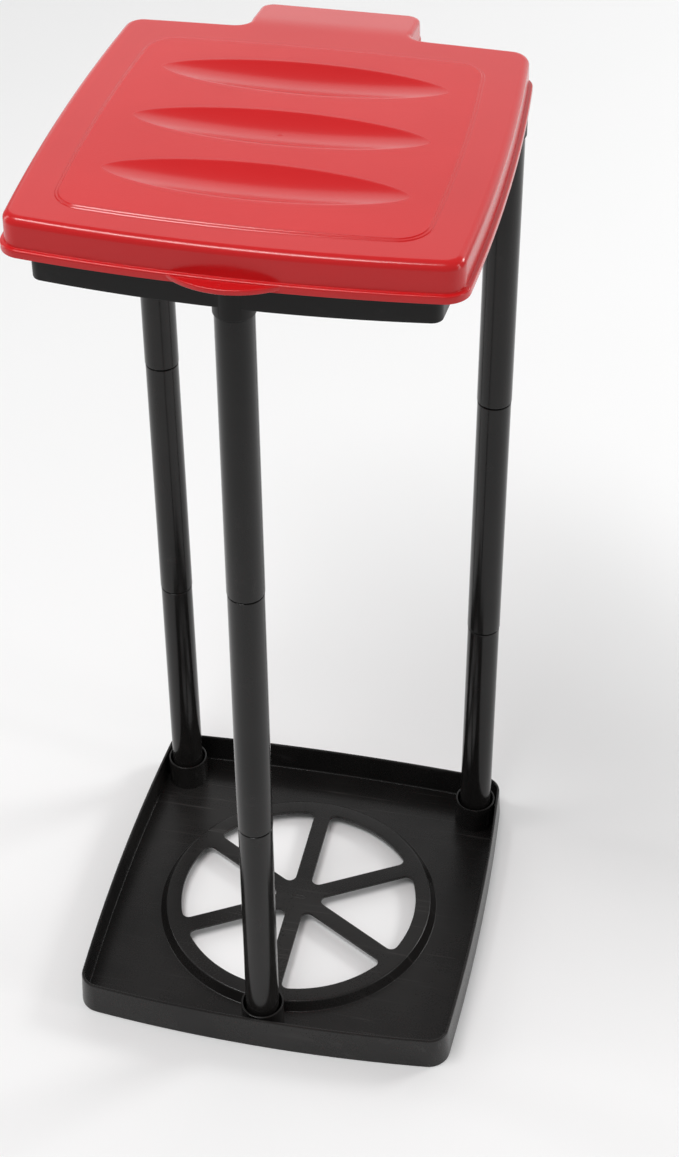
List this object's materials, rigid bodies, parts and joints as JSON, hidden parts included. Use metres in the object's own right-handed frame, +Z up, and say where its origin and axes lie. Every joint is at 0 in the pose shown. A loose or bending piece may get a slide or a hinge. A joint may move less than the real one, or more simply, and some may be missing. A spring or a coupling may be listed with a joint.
{
  "type": "refuse bag stand",
  "caption": "Free-standing refuse bag stand: tray base with spoked disc, sectional tube legs, skirted bag frame and rear-hinged embossed lid.",
  "frame": {"origin": "under the middle of the whole object at floor level", "axes": "+Z up; +X to the object's right seen from the front; the finger tab of the lid faces -Y and the hinge is at +Y"},
  "size_m": [0.2794, 0.3238, 0.6604],
  "materials": {
    "tray_black": "satin moulded, scuffed floor",
    "tube_black": "semi-gloss moulded",
    "frame_black": "satin moulded",
    "pin_steel": "plain drawn wire",
    "lid_red": "semi-gloss moulded with a finely textured panel"
  },
  "bodies": {
    "stand": {"base_tray": "tray_black", "leg_front_lower": "tube_black", "leg_front_middle": "tube_black", "leg_front_upper": "tube_black", "leg_left_lower": "tube_black", "leg_left_middle": "tube_black", "leg_left_upper": "tube_black", "leg_right_lower": "tube_black", "leg_right_middle": "tube_black", "leg_right_upper": "tube_black", "bag_frame": "frame_black", "hinge_pin": "pin_steel"},
    "lid": {"lid": "lid_red"}
  },
  "joints": [
    {"name": "lid_hinge", "type": "hinge", "parent": "stand", "child": "lid", "pos_m": [0, 0.14793, 0.6424], "axis": [-1, 0, 0], "range_deg": [0, 128]}
  ]
}
